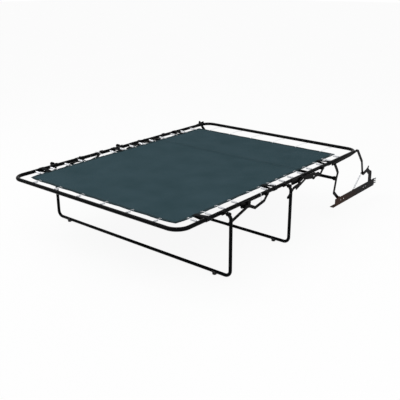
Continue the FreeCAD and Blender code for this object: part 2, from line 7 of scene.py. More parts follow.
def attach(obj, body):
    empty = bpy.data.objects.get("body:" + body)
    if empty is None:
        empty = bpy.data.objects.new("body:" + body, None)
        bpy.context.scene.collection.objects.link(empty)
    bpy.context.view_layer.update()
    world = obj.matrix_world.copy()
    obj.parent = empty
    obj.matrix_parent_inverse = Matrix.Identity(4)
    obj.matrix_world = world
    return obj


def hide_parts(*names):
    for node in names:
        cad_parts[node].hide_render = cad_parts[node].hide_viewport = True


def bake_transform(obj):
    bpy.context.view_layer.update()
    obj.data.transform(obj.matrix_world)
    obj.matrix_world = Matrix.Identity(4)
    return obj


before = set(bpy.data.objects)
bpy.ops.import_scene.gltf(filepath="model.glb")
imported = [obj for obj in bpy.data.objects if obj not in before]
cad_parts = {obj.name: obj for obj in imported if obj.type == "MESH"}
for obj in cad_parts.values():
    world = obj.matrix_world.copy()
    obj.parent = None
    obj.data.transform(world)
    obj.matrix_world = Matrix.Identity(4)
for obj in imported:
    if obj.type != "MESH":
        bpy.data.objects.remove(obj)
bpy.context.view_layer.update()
scene = bpy.context.scene
scene.view_settings.view_transform = "Standard"

# Bed coordinates, in millimetres: X across from the middle, Y from the foot tube
# to the head tube, Z up from the floor. bed() turns them into the frame's metres.
MM = 0.001
FACE_X, ORIGIN_Y, ORIGIN_Z = 704.3, 1800.0, 107.0
RAIL_X, RAIL_Z, RAIL_R = 660.0, 375.0, 11.0
FRAME_END = 1840.0
SIDES = {"left": -1, "right": 1}
UP = Vector((0, 0, 1))
ACROSS = Vector((1, 0, 0))
ALONG = Vector((0, 1, 0))


def bed(x, y, z):
    return Vector((x - FACE_X, y - ORIGIN_Y, z - ORIGIN_Z)) * MM


def in_bed(place):
    """The bed coordinates of a place in the frame."""
    return place.x / MM + FACE_X, place.y / MM + ORIGIN_Y, place.z / MM + ORIGIN_Z


# Finishes

# Nearly all of a noise lies between these values
NOISE_LOW, NOISE_HIGH = 0.3, 0.7
# A wave texture runs through this many radians in one unit
WAVE_RADIANS = 20


def new_finish(name, **sockets):
    material = bpy.data.materials.new(name)
    material.use_nodes = True
    tree = material.node_tree
    shader = tree.nodes["Principled BSDF"]
    for socket, value in sockets.items():
        shader.inputs[socket.replace("_", " ")].default_value = value
    return material, tree, shader


def node(tree, kind, **settings):
    """A new node. A setting is the value of a socket, or else of the node itself."""
    made = tree.nodes.new(kind)
    for key, value in settings.items():
        socket = key.replace("_", " ")
        if socket in made.inputs:
            made.inputs[socket].default_value = value
        else:
            setattr(made, key, value)
    return made


def grain(tree, size_mm, detail=3.0):
    """Noise whose blotches are about size_mm across."""
    place = node(tree, "ShaderNodeTexCoord")
    noise = node(tree, "ShaderNodeTexNoise", Scale=1 / (size_mm * MM), Detail=detail)
    tree.links.new(place.outputs["Object"], noise.inputs["Vector"])
    return noise.outputs["Fac"]


def ramp(tree, source, low, high, start=NOISE_LOW, end=NOISE_HIGH):
    """Spread a value between two colours."""
    made = node(tree, "ShaderNodeValToRGB")
    stops = made.color_ramp.elements
    stops[0].position, stops[1].position = start, end
    stops[0].color, stops[1].color = (*low, 1), (*high, 1)
    tree.links.new(source, made.inputs["Fac"])
    return made.outputs["Color"]


def level(tree, source, low, high):
    """Spread a value between two numbers."""
    made = node(tree, "ShaderNodeMapRange", From_Min=NOISE_LOW, From_Max=NOISE_HIGH,
                To_Min=low, To_Max=high)
    tree.links.new(source, made.inputs["Value"])
    return made.outputs["Result"]


def tint(tree, shader, size_mm, dark, light):
    """A colour that varies in blotches."""
    tree.links.new(ramp(tree, grain(tree, size_mm), dark, light), shader.inputs["Base Color"])


def gloss(tree, shader, size_mm, low, high):
    """A roughness that varies in blotches."""
    tree.links.new(level(tree, grain(tree, size_mm), low, high), shader.inputs["Roughness"])


def relief(tree, shader, height, strength, depth_mm):
    made = node(tree, "ShaderNodeBump", Strength=strength, Distance=depth_mm * MM)
    tree.links.new(height, made.inputs["Height"])
    tree.links.new(made.outputs["Normal"], shader.inputs["Normal"])


def spray(tree, shader, low, high):
    """The uneven gloss and fine ripple of sprayed enamel."""
    gloss(tree, shader, size_mm=12, low=low, high=high)
    ripple = grain(tree, size_mm=2.5, detail=2.0)
    relief(tree, shader, ripple, strength=0.12, depth_mm=0.2)


def enamel(name, dark, light, smoothest, roughest):
    material, tree, shader = new_finish(name, Specular_IOR_Level=0.025)
    tint(tree, shader, size_mm=35, dark=dark, light=light)
    spray(tree, shader, low=smoothest, high=roughest)
    return material


def brown_to_black_enamel(name, brown_y, black_y):
    """Brown towards the front that goes over to black enamel along the bed, in blotches."""
    brown, black = (0.034, 0.014, 0.008), (0.0035, 0.0034, 0.0042)
    patches = 0.35
    material, tree, shader = new_finish(name, Specular_IOR_Level=0.03)
    place = node(tree, "ShaderNodeTexCoord")
    split = node(tree, "ShaderNodeSeparateXYZ")
    tree.links.new(place.outputs["Object"], split.inputs["Vector"])
    along = node(tree, "ShaderNodeMapRange", From_Min=bed(0, brown_y, 0).y,
                 From_Max=bed(0, black_y, 0).y)
    tree.links.new(split.outputs["Y"], along.inputs["Value"])
    patchy = node(tree, "ShaderNodeMath", operation="MULTIPLY_ADD")
    patchy.inputs[1].default_value = patches
    blotches = level(tree, grain(tree, size_mm=30), low=-0.5, high=0.5)
    tree.links.new(blotches, patchy.inputs[0])
    tree.links.new(along.outputs["Result"], patchy.inputs[2])
    colour = ramp(tree, patchy.outputs["Value"], brown, black, start=0.1, end=0.9)
    tree.links.new(colour, shader.inputs["Base Color"])
    spray(tree, shader, low=0.34, high=0.5)
    return material


def zinc(name):
    material, tree, shader = new_finish(name, Metallic=1.0)
    tint(tree, shader, size_mm=6, dark=(0.58, 0.59, 0.61), light=(0.78, 0.79, 0.81))
    gloss(tree, shader, size_mm=3, low=0.24, high=0.42)
    return material


def weave(tree, pitch_mm):
    """Plain weave: threads over and under each other, from waves along U and V."""
    place = node(tree, "ShaderNodeTexCoord")
    threads = []
    for direction in ("X", "Y"):
        wave = node(tree, "ShaderNodeTexWave", wave_type="BANDS", bands_direction=direction,
                    Scale=2 * math.pi / WAVE_RADIANS / (pitch_mm * MM))
        tree.links.new(place.outputs["UV"], wave.inputs["Vector"])
        threads.append(wave.outputs["Fac"])
    over = node(tree, "ShaderNodeTexChecker", Scale=1 / (pitch_mm * MM))
    tree.links.new(place.outputs["UV"], over.inputs["Vector"])
    mix = node(tree, "ShaderNodeMix")
    tree.links.new(over.outputs["Fac"], mix.inputs["Factor"])
    tree.links.new(threads[0], mix.inputs["A"])
    tree.links.new(threads[1], mix.inputs["B"])
    return mix.outputs["Result"]


def woven(name, dark, light, pitch_mm):
    between, full = (0.55, 0.55, 0.55), (1.0, 1.0, 1.0)
    material, tree, shader = new_finish(name, Roughness=0.82, Specular_IOR_Level=0.04)
    threads = weave(tree, pitch_mm)
    cloudy = ramp(tree, grain(tree, size_mm=160, detail=4.0), dark, light)
    shaded = node(tree, "ShaderNodeMix", data_type="RGBA", blend_type="MULTIPLY", Factor=0.35)
    tree.links.new(cloudy, shaded.inputs["A"])
    tree.links.new(ramp(tree, threads, between, full, start=0.0, end=1.0), shaded.inputs["B"])
    tree.links.new(shaded.outputs["Result"], shader.inputs["Base Color"])
    relief(tree, shader, threads, strength=0.3, depth_mm=0.5)
    return material


def moulded(name, dark, light):
    material, tree, shader = new_finish(name, Specular_IOR_Level=0.3)
    tint(tree, shader, size_mm=9, dark=dark, light=light)
    gloss(tree, shader, size_mm=4, low=0.45, high=0.62)
    relief(tree, shader, grain(tree, size_mm=0.9), strength=0.2, depth_mm=0.2)
    return material


TUBE = enamel("tube_enamel", (0.0014, 0.0018, 0.0022), (0.0028, 0.0032, 0.0036),
              smoothest=0.14, roughest=0.28)
LINKAGE = enamel("linkage_enamel", (0.0018, 0.0018, 0.0022), (0.0036, 0.0034, 0.0034),
                 smoothest=0.22, roughest=0.36)
RAIL = brown_to_black_enamel("mount_rail_enamel", brown_y=1500.0, black_y=1900.0)
ZINC = zinc("zinc_wire")
DECK = woven("deck_cloth", (0.026, 0.055, 0.066), (0.034, 0.066, 0.080), pitch_mm=2.4)
HEM = woven("deck_hem", (0.018, 0.034, 0.040), (0.025, 0.043, 0.050), pitch_mm=2.4)
WEBBING = woven("black_webbing", (0.005, 0.006, 0.007), (0.010, 0.011, 0.012), pitch_mm=1.6)
THREAD = moulded("stitch_thread", (0.016, 0.028, 0.032), (0.028, 0.044, 0.050))
PLASTIC = moulded("glide_plastic", (0.007, 0.007, 0.007), (0.014, 0.014, 0.014))

LINKAGE_WORDS = ("plate", "strap", "link", "brace", "bracket")


def dress(part, material):
    part.data.materials.clear()
    part.data.materials.append(material)


def fit(piece, material, body):
    """Finish a new piece and ride it on a body."""
    dress(piece, material)
    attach(piece, body)
    return piece


for name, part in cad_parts.items():
    if name.endswith("mount_rail") or name.endswith("rear_bracket"):
        dress(part, RAIL)
    elif any(word in name for word in LINKAGE_WORDS):
        dress(part, LINKAGE)
    elif "hooks" in name or "spring" in name:
        dress(part, ZINC)
    elif "glides" in name:
        dress(part, PLASTIC)
    elif "deck" in name:
        dress(part, DECK)
    else:
        dress(part, TUBE)


# Modelling by hand

ONTO_X = Matrix.Rotation(math.pi / 2, 4, "Y")
ONTO_Y = Matrix.Rotation(math.pi / 2, 4, "X")
# Points closer than this are merged
MERGE = 0.01 * MM
# The degrees in one step of a bend, and the fewest steps in a bend
BEND_STEP, BEND_LEAST = 18, 3
# A drum's sides, the rim of its dish as a share of the radius, and the dish's depth
DRUM_SIDES, DISH_SHARE, DISH_DEEP = 32, 0.35, 0.5
# An end face points along the axis at least this squarely
FACING = 0.9


def deselect():
    bpy.ops.object.select_all(action="DESELECT")


def pick(piece):
    """Select one piece alone."""
    deselect()
    piece.select_set(True)
    bpy.context.view_layer.objects.active = piece


def shut_mesh():
    """Go back to object mode."""
    bpy.ops.object.mode_set(mode="OBJECT")


def open_mesh(piece):
    """Go into edit mode with all of a piece selected."""
    pick(piece)
    bpy.ops.object.mode_set(mode="EDIT")
    bpy.ops.mesh.select_all(action="SELECT")


def open_faces(piece, wanted):
    """Go into edit mode with only the wanted faces selected."""
    pick(piece)
    bpy.ops.object.mode_set(mode="EDIT")
    bpy.ops.mesh.select_mode(type="FACE")
    bpy.ops.mesh.select_all(action="DESELECT")
    shut_mesh()
    for face in piece.data.polygons:
        face.select = wanted(face)
    bpy.ops.object.mode_set(mode="EDIT")


def settle():
    """Put the active piece's place into its mesh."""
    bpy.ops.object.transform_apply(location=True, rotation=True, scale=True)
    return bpy.context.object


def apply_modifier(piece, kind, **settings):
    pick(piece)
    modifier = piece.modifiers.new(kind.lower(), kind)
    for key, value in settings.items():
        setattr(modifier, key, value)
    bpy.ops.object.modifier_apply(modifier=modifier.name)


def close_up(piece):
    """Merge doubles and point the faces outwards."""
    open_mesh(piece)
    bpy.ops.mesh.remove_doubles(threshold=MERGE)
    bpy.ops.mesh.normals_make_consistent(inside=False)
    shut_mesh()
    return piece


def smooth(piece, angle=35):
    pick(piece)
    bpy.ops.object.shade_smooth_by_angle(angle=math.radians(angle))
    return piece


def join(name, members):
    deselect()
    for member in members:
        member.select_set(True)
    bpy.context.view_layer.objects.active = members[0]
    if len(members) > 1:
        bpy.ops.object.join()
    made = bpy.context.object
    made.name = name
    return made


def copy_at(piece, matrix):
    """A copy with its own mesh, placed by a matrix."""
    twin = bpy.data.objects.new(piece.name, piece.data.copy())
    scene.collection.objects.link(twin)
    twin.data.transform(matrix)
    return twin


def turned(angle, place):
    return Matrix.Translation(place) @ Matrix.Rotation(math.radians(angle), 4, "Z")


def pull(profile, tip, way, moves):
    """Draw a flat profile along runs and round bends.

    A move is ("run", mm) or ("turn", degrees, bend radius in mm, axis).
    """
    open_mesh(profile)
    for move in moves:
        if move[0] == "run":
            step = way * move[1] * MM
            bpy.ops.mesh.extrude_region_move(TRANSFORM_OT_translate={"value": step})
            tip = tip + step
        else:
            turn, bend, axis = math.radians(move[1]), move[2] * MM, Vector(move[3])
            side = axis.cross(way) * math.copysign(1, turn)
            centre = tip + side * bend
            steps = max(BEND_LEAST, round(abs(move[1]) / BEND_STEP))
            bpy.ops.mesh.spin(steps=steps, angle=-turn, center=centre, axis=axis)
            swing = Matrix.Rotation(turn, 3, axis)
            tip = centre + swing @ (tip - centre)
            way = swing @ way
    shut_mesh()
    return close_up(profile)


def sweep(start, heading, moves, radius_mm, sides=6):
    """Bend a round wire."""
    deselect()
    way = heading.normalized()
    bpy.ops.mesh.primitive_circle_add(vertices=sides, radius=radius_mm * MM, fill_type="NGON",
                                      location=start,
                                      rotation=way.to_track_quat("Z", "Y").to_euler())
    return pull(settle(), start.copy(), way, moves)


def fold_strip(start, heading, moves, wide_mm, thick_mm):
    """Fold a flat strip that is wide along the bed."""
    deselect()
    way = heading.normalized()
    turn = Matrix((ALONG, way.cross(ALONG), way)).transposed()
    bpy.ops.mesh.primitive_plane_add(size=1, location=start, rotation=turn.to_euler())
    bpy.context.object.scale = (wide_mm * MM, thick_mm * MM, 1)
    return pull(settle(), start.copy(), way, moves)


def unwrap(piece):
    """Unwrap a piece from six sides, in metres."""
    open_mesh(piece)
    bpy.ops.uv.cube_project(cube_size=1, correct_aspect=False)
    shut_mesh()


def turned_drum(radius_mm, length_mm, place, turn, bevel_mm):
    """A short drum with rounded rims and a dished face at each end."""
    deselect()
    bpy.ops.mesh.primitive_cylinder_add(vertices=DRUM_SIDES, radius=radius_mm * MM,
                                        depth=length_mm * MM)
    drum = bpy.context.object
    open_faces(drum, lambda face: abs(face.normal.z) > FACING)
    bpy.ops.mesh.inset(thickness=radius_mm * DISH_SHARE * MM, depth=-DISH_DEEP * MM,
                       use_individual=True)
    shut_mesh()
    apply_modifier(drum, "BEVEL", width=bevel_mm * MM, segments=3, limit_method="ANGLE",
                   angle_limit=math.radians(50))
    drum.data.transform(Matrix.Translation(place) @ turn)
    return smooth(drum, angle=40)


def coil(radius_mm, wire_mm, pitch_mm, turns, steps=8, sides=5):
    """A close coil up the Z axis from the origin."""
    deselect()
    bpy.ops.mesh.primitive_circle_add(vertices=sides, radius=wire_mm * MM, fill_type="NOTHING",
                                      location=(radius_mm * MM, 0, 0),
                                      rotation=(math.pi / 2, 0, 0))
    made = settle()
    apply_modifier(made, "SCREW", axis="Z", angle=2 * math.pi, screw_offset=pitch_mm * MM,
                   iterations=turns, steps=steps, render_steps=steps, use_normal_calculate=True)
    open_mesh(made)
    bpy.ops.mesh.fill_holes(sides=sides)
    shut_mesh()
    return close_up(made)


# Deck cloth in three stretches: the foot and middle ones are sewn together,
# and the head one laps under the middle one

DECK_HALF, DECK_FRONT, DECK_REAR = 590.0, 58.0, 1660.0
DECK_CELL, CLOTH_THICK = 10.0, 1.0
HEM_WIDE, HEM_THICK, EDGE_THICK, EDGE_ROUND = 20.0, 3.2, 2.4, 0.9
SIDE_HOOKS = (157, 268, 379, 490, 768, 860, 952, 1044, 1152, 1262, 1384, 1498, 1612)
LINK_HOOK = 662.0
END_HOOKS = (-480, -288, -96, 96, 288, 480)
FOOT_PIN, MID_PIN, FOLD_HALF = 535.0, 716.0, 22.0
SEAM, SPLIT, SPLIT_HALF = 628.0, 1210.0, 1.0
LAP_FRONT, LAP_REAR, LAP_DROP = 1188.0, 1216.0, 3.4
STRETCHES = (("foot_deck", DECK_FRONT, SEAM, ("foot_section", "foot_fold_links", FOOT_PIN)),
             ("mid_deck", SEAM, SPLIT - SPLIT_HALF, ("foot_fold_links", "mid_section", MID_PIN)),
             ("head_deck", SPLIT + SPLIT_HALF, DECK_REAR, None))
STITCH_STEP, STITCH_IN, STITCH_CLEAR, STITCH_UP = 7, HEM_WIDE - 4.0, 4.0, 1.75
STITCH_SIZE = (2.2, 0.55, 0.45)

# How far the cloth hangs, and draws in between its hooks and at the front corners
SAG, SCALLOP, CORNER = 5.0, 3.5, 10.0
# How far from a hook the cloth is fully drawn in, and how deep that goes
SIDE_SPAN, END_SPAN, PULL_DEEP = 70, 90, 45
# The sides' pull fades over this distance from the middle
MIDDLE_FADE = 100


def drape(piece):
    """Let a flat deck piece sag a little and pull in between its hooks."""
    middle, reach = (DECK_FRONT + DECK_REAR) / 2, (DECK_REAR - DECK_FRONT) / 2
    for vertex in piece.data.vertices:
        x, y, z = in_bed(vertex.co)
        across = max(0.0, 1 - (x / DECK_HALF) ** 2)
        along = max(0.0, 1 - ((y - middle) / reach) ** 2)
        near_side = min(abs(y - hook) for hook in (*SIDE_HOOKS, LINK_HOOK))
        near_end = min(abs(x - hook) for hook in END_HOOKS)
        pull_side = SCALLOP * min(1.0, (near_side / SIDE_SPAN) ** 2)
        pull_side *= math.exp((abs(x) - DECK_HALF) / PULL_DEEP)
        pull_end = SCALLOP * min(1.0, (near_end / END_SPAN) ** 2)
        pull_front = pull_end * math.exp((DECK_FRONT - y) / PULL_DEEP)
        pull_rear = pull_end * math.exp((y - DECK_REAR) / PULL_DEEP)
        from_corner = DECK_HALF - abs(x) + y - DECK_FRONT
        corner = CORNER * math.exp(-from_corner / PULL_DEEP)
        x -= math.copysign(pull_side + corner, x) * min(1.0, abs(x) / MIDDLE_FADE)
        y += pull_front + corner - pull_rear
        vertex.co = bed(x, y, z - SAG * across * along)


def lay_out(piece):
    """Unwrap a flat deck piece by its place, in metres."""
    layer = piece.data.uv_layers.active or piece.data.uv_layers.new(name="cut")
    for loop in piece.data.loops:
        place = piece.data.vertices[loop.vertex_index].co
        layer.data[loop.index].uv = (place.x, place.y)


def on_rim(x, y):
    at_end = y < DECK_FRONT + HEM_WIDE or y > DECK_REAR - HEM_WIDE
    return at_end or abs(x) > DECK_HALF - HEM_WIDE


def at_split(x, y):
    return abs(y - SPLIT) < HEM_WIDE and not on_rim(x, y)


def turn_in(cloth, name, where, thick_mm):
    """A turned-in edge: the faces of a stretch that lie where asked, doubled and thickened."""
    def wanted(face):
        cut = cloth.data.uv_layers.active.data
        corners = [cut[corner].uv for corner in face.loop_indices]
        flat = sum(corners, Vector((0, 0))) / face.loop_total
        return where(*in_bed(flat.to_3d())[:2])

    open_faces(cloth, wanted)
    bpy.ops.mesh.duplicate()
    bpy.ops.mesh.separate(type="SELECTED")
    shut_mesh()
    edge = next(part for part in bpy.context.selected_objects if part != cloth)
    edge.name = name
    apply_modifier(edge, "SOLIDIFY", thickness=thick_mm * MM, offset=0)
    apply_modifier(edge, "BEVEL", width=EDGE_ROUND * MM, segments=2, limit_method="ANGLE")
    return edge


def stitch_places(start, end):
    """Where the hem's stitches go on one stretch, with their directions."""
    side_x = DECK_HALF - STITCH_IN
    for y in range(int(DECK_FRONT + STITCH_IN), int(DECK_REAR - STITCH_IN), STITCH_STEP):
        if start + STITCH_CLEAR < y < end - STITCH_CLEAR:
            yield from ((-side_x, y, 90), (side_x, y, 90))
    for y in (DECK_FRONT + STITCH_IN, SPLIT - STITCH_IN, SPLIT + STITCH_IN, DECK_REAR - STITCH_IN):
        if start < y < end:
            yield from ((x, y, 0) for x in range(-int(side_x), int(side_x), STITCH_STEP))


def stitches(number, start, end):
    deselect()
    bpy.ops.mesh.primitive_uv_sphere_add(segments=6, ring_count=4, radius=MM)
    thread = bpy.context.object
    thread.scale = STITCH_SIZE
    settle()
    smooth(thread, angle=60)
    row = [copy_at(thread, turned(angle, bed(x, y, RAIL_Z + STITCH_UP)))
           for x, y, angle in stitch_places(start, end)]
    bpy.data.objects.remove(thread)
    line = join(f"deck_stitches_{number}", row)
    drape(line)
    return line


def cloth_grid(name, start, end, half, z):
    """A flat piece of deck cloth from start to end, in small cells, draped."""
    deselect()
    bpy.ops.mesh.primitive_grid_add(x_subdivisions=round(2 * half / DECK_CELL),
                                    y_subdivisions=max(2, round((end - start) / DECK_CELL)),
                                    size=1, location=bed(0, (start + end) / 2, z))
    cloth = bpy.context.object
    cloth.scale = (2 * half * MM, (end - start) * MM, 1)
    settle()
    cloth.name = name
    lay_out(cloth)
    drape(cloth)
    return cloth


def thicken(cloth):
    apply_modifier(cloth, "SOLIDIFY", thickness=CLOTH_THICK * MM, offset=0)


def hang(part, material, fold):
    """Finish a piece of the deck, and ride it on the head section when it has no fold."""
    smooth(part)
    dress(part, material)
    if fold:
        parent, child, pin = fold
        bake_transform(part)
    else:
        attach(part, "head_section")


for number, (replaced, start, end, fold) in enumerate(STRETCHES, 1):
    cloth = cloth_grid(f"deck_cloth_{number}", start, end, DECK_HALF, RAIL_Z)
    sewn = [(turn_in(cloth, f"deck_hem_{number}", on_rim, HEM_THICK), HEM),
            (stitches(number, start, end), THREAD)]
    if min(abs(start - SPLIT), abs(end - SPLIT)) < HEM_WIDE:
        edge = turn_in(cloth, f"deck_turned_edge_{number}", at_split, EDGE_THICK)
        sewn.append((edge, DECK))
    if fold is None:
        lap = cloth_grid("deck_lap", LAP_FRONT, LAP_REAR, DECK_HALF - HEM_WIDE, RAIL_Z - LAP_DROP)
        thicken(lap)
        sewn.append((lap, DECK))
    thicken(cloth)
    for part, material in [(cloth, DECK), *sewn]:
        hang(part, material, fold)
    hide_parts(replaced)


# Deck springs, which pull the hem to the tubes

SECTION_ENDS = (("foot", 0, 600), ("mid", 600, 1200), ("head", 1200, FRAME_END))
EYELET_IN = 10.0
EYELET_R, EYELET_WIRE, EYELET_TALL = 4.6, 1.3, 1.9
WIRE_R, LINK_WIRE_R, LONG_WIRE_R, COIL_R = 1.1, 1.4, 1.5, 5.4
COIL_PITCH = WIRE_R * 2.1
TAIL_IN = 0.4


def spring_hook(reach):
    """A deck spring along +X, from an eyelet at the origin to a tube at reach."""
    hook_run, coil_end = 22.0, 12.0
    knee, drop, curl = 3.2, 4.5, 2.4
    turns = round((reach - hook_run - coil_end) / COIL_PITCH)
    body = coil(COIL_R, WIRE_R, COIL_PITCH, turns)
    body.data.transform(Matrix.Translation((hook_run * MM, 0, 0)) @ ONTO_X)
    hook = sweep(Vector((hook_run, 0, COIL_R)) * MM, -ACROSS,
                 [("run", hook_run - knee), ("turn", -90, knee, ALONG), ("run", drop),
                  ("turn", -150, curl, ALONG)], WIRE_R)
    tail_at = hook_run + turns * COIL_PITCH
    tail = sweep(Vector((tail_at, 0, COIL_R)) * MM, ACROSS, [("run", reach - tail_at)], WIRE_R)
    return smooth(join("deck_spring", [body, hook, tail]), angle=50)


def long_hook(reach):
    """A long wire hook along +X for the head end, with a shallow step in it."""
    aside, below, rise, knee = 2.4, 3.0, 4.0, 3.0
    dip, dip_bend = 16, 14
    first, step, last = reach * 0.62, reach * 0.12, reach * 0.14
    wire = sweep(Vector((aside, 0, -below)) * MM, UP,
                 [("run", rise), ("turn", 90, knee, ALONG), ("run", first),
                  ("turn", dip, dip_bend, ALONG), ("run", step),
                  ("turn", -dip, dip_bend, ALONG), ("run", last)], LONG_WIRE_R)
    return smooth(wire, angle=50)


def eyelet():
    deselect()
    bpy.ops.mesh.primitive_torus_add(major_radius=EYELET_R * MM, minor_radius=EYELET_WIRE * MM,
                                     major_segments=18, minor_segments=6)
    ring = settle()
    ring.data.transform(Matrix.Diagonal((1, 1, EYELET_TALL, 1)))
    return smooth(ring, angle=60)


grip = math.sqrt(RAIL_R ** 2 - COIL_R ** 2)
side_spring = spring_hook(RAIL_X - grip - DECK_HALF + EYELET_IN + TAIL_IN)
front_spring = spring_hook(DECK_FRONT + EYELET_IN - grip + TAIL_IN)
head_hook = long_hook(FRAME_END - RAIL_R - DECK_REAR + EYELET_IN)
ring = eyelet()
for section, start, end in SECTION_ENDS:
    held = []
    for y in SIDE_HOOKS:
        if start < y < end:
            for side in SIDES.values():
                place = bed(side * (DECK_HALF - EYELET_IN), y, RAIL_Z)
                held.append((side_spring, 0 if side > 0 else 180, place))
    for x in END_HOOKS:
        if section == "foot":
            held.append((front_spring, -90, bed(x, DECK_FRONT + EYELET_IN, RAIL_Z)))
        if section == "head":
            held.append((head_hook, 90, bed(x, DECK_REAR - EYELET_IN, RAIL_Z)))
    springs = [copy_at(spring, turned(angle, place)) for spring, angle, place in held]
    rings = [copy_at(ring, Matrix.Translation(place)) for _, _, place in held]
    piece = fit(join(f"{section}_deck_springs", springs), ZINC,
                f"{section}_section")
    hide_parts(f"{section}_hooks")
    fit(join(f"{section}_eyelets", rings), ZINC, f"{section}_section")


# Hooks on the foot fold links: each wire goes over the rail and down to the link

LINK_GAP_X, LINK_LOW = 676.9, 329.2


def link_hook(side):
    inner = DECK_HALF - EYELET_IN
    below, rise, slope, climb = 3.2, 4.0, 62.0, 10.0
    bend, ease, knee, toe = 3.0, 12.0, 6.0, 3.0
    lead, under = 10.0, 1.2
    lift, forward = math.sin(math.radians(climb)), math.cos(math.radians(climb))
    axis = (0, side, 0)
    top_z = -below + rise + bend * (1 - lift) + slope * lift
    level_run = LINK_GAP_X - inner - bend - slope * forward - lead
    down = RAIL_Z + top_z - knee - LINK_LOW - under
    return sweep(bed(side * inner, LINK_HOOK, RAIL_Z - below), UP, [
        ("run", rise), ("turn", 90 - climb, bend, axis), ("run", slope),
        ("turn", climb, ease, axis), ("run", level_run), ("turn", 90, knee, axis),
        ("run", down), ("turn", -90, toe, axis), ("run", rise)], LINK_WIRE_R)


wires = [link_hook(side) for side in SIDES.values()]
rings = [copy_at(ring, Matrix.Translation(bed(side * (DECK_HALF - EYELET_IN), LINK_HOOK, RAIL_Z)))
         for side in SIDES.values()]
for name, members in (("link_hooks", wires), ("link_eyelets", rings)):
    fit(smooth(join(name, members), angle=50), ZINC, "foot_fold_links")
for pattern in (side_spring, front_spring, head_hook, ring):
    bpy.data.objects.remove(pattern)


# Webbing tabs that hold the hem to the rails

TAB_WIDE, TAB_THICK, TAB_GAP, TAB_ROUND = 30.0, 1.5, 0.4, 0.4
TAB_SEWN, TAB_RISE = 18.0, 2.6
TABS = {"foot": 212, "mid": 814, "head": 1441}


def webbing_tab(side, y):
    """A loop of webbing from the hem over a rail and back under it."""
    wrap = RAIL_R + TAB_GAP + TAB_THICK / 2
    climb = wrap - TAB_RISE
    span = RAIL_X - DECK_HALF + TAB_SEWN
    run, lean = math.hypot(span, climb), math.degrees(math.atan2(climb, span))
    start = bed(side * (DECK_HALF - TAB_SEWN), y, RAIL_Z + TAB_RISE)
    moves = [("run", run), ("turn", 180 + 2 * lean, wrap, (0, side, 0)), ("run", run)]
    loop = fold_strip(start, Vector((side * span, 0, climb)), moves, TAB_WIDE, TAB_THICK)
    apply_modifier(loop, "BEVEL", width=TAB_ROUND * MM, segments=2, limit_method="ANGLE",
                   angle_limit=math.radians(60))
    return smooth(loop, angle=40)


for section, y in TABS.items():
    tabs = join(f"{section}_webbing_tabs", [webbing_tab(side, y) for side in SIDES.values()])
    unwrap(tabs)
    fit(tabs, WEBBING, f"{section}_section")


# Moulded glides under the legs, plugs in the tube ends and collars on the cross tube

LEG_BAR_Z, LEG_R = 18.0, 9.5
GLIDE_X, GLIDE_Y = 600.0, {"foot": 349.0, "mid": 920.0}
PAD_R, PAD_ROUND, PAD_IN = 12.0, 1.6, 2.0
SADDLE_WALL, SADDLE_LONG, SADDLE_UP, SADDLE_ROUND = 2.0, 26.0, 4.0, 1.2
PLUG_Y = {"foot": (599.0,), "mid": (607.0, 1206.0), "head": (1214.0,)}
PLUG_R, PLUG_THICK, PLUG_ROUND = RAIL_R - 0.6, 2.0, 0.5
COLLAR_R, COLLAR_LONG, COLLAR_ROUND = 14.0, 18.0, 1.2
COLLAR_X, CROSS_Y, CROSS_Z = 680.0, 1498.0, 265.0


def glide(x, y):
    """A foot pad under a saddle that clips round the leg's bar."""
    tall = LEG_BAR_Z - LEG_R + PAD_IN
    pad = turned_drum(PAD_R, tall, bed(x, y, tall / 2), Matrix.Identity(4), PAD_ROUND)
    saddle = turned_drum(LEG_R + SADDLE_WALL, SADDLE_LONG, bed(x, y, LEG_BAR_Z), ONTO_X,
                         SADDLE_ROUND)
    open_mesh(saddle)
    bpy.ops.mesh.bisect(plane_co=bed(x, y, LEG_BAR_Z + SADDLE_UP), plane_no=UP,
                        clear_outer=True, use_fill=True)
    shut_mesh()
    return [pad, smooth(saddle, angle=40)]


for name, y in GLIDE_Y.items():
    moulding = join(f"{name}_glide_pads", glide(-GLIDE_X, y) + glide(GLIDE_X, y))
    fit(moulding, PLASTIC, f"{name}_leg_unit")
    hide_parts(f"{name}_leg_glides")

for section, ends in PLUG_Y.items():
    plugs = join(f"{section}_tube_plugs", [
        turned_drum(PLUG_R, PLUG_THICK, bed(side * RAIL_X, y, RAIL_Z), ONTO_Y, PLUG_ROUND)
        for y in ends for side in SIDES.values()])
    fit(plugs, PLASTIC, f"{section}_section")

collars = join("cross_collars", [
    turned_drum(COLLAR_R, COLLAR_LONG, bed(side * COLLAR_X, CROSS_Y, CROSS_Z), ONTO_X,
                COLLAR_ROUND) for side in SIDES.values()])
fit(collars, LINKAGE, "front_links")


# Lift springs, each from a post on its mount rail to the rear link's lower pin

POST = (1776.0, 115.0)
REAR_LOW = (1883.0, 207.0)
SPRING_X = 683.3
LIFT_COIL_R, LIFT_WIRE_R, LIFT_PITCH = 3.9, 1.2, 2.5
POST_EYE_R, PIN_EYE_R = 5.5, 6.5


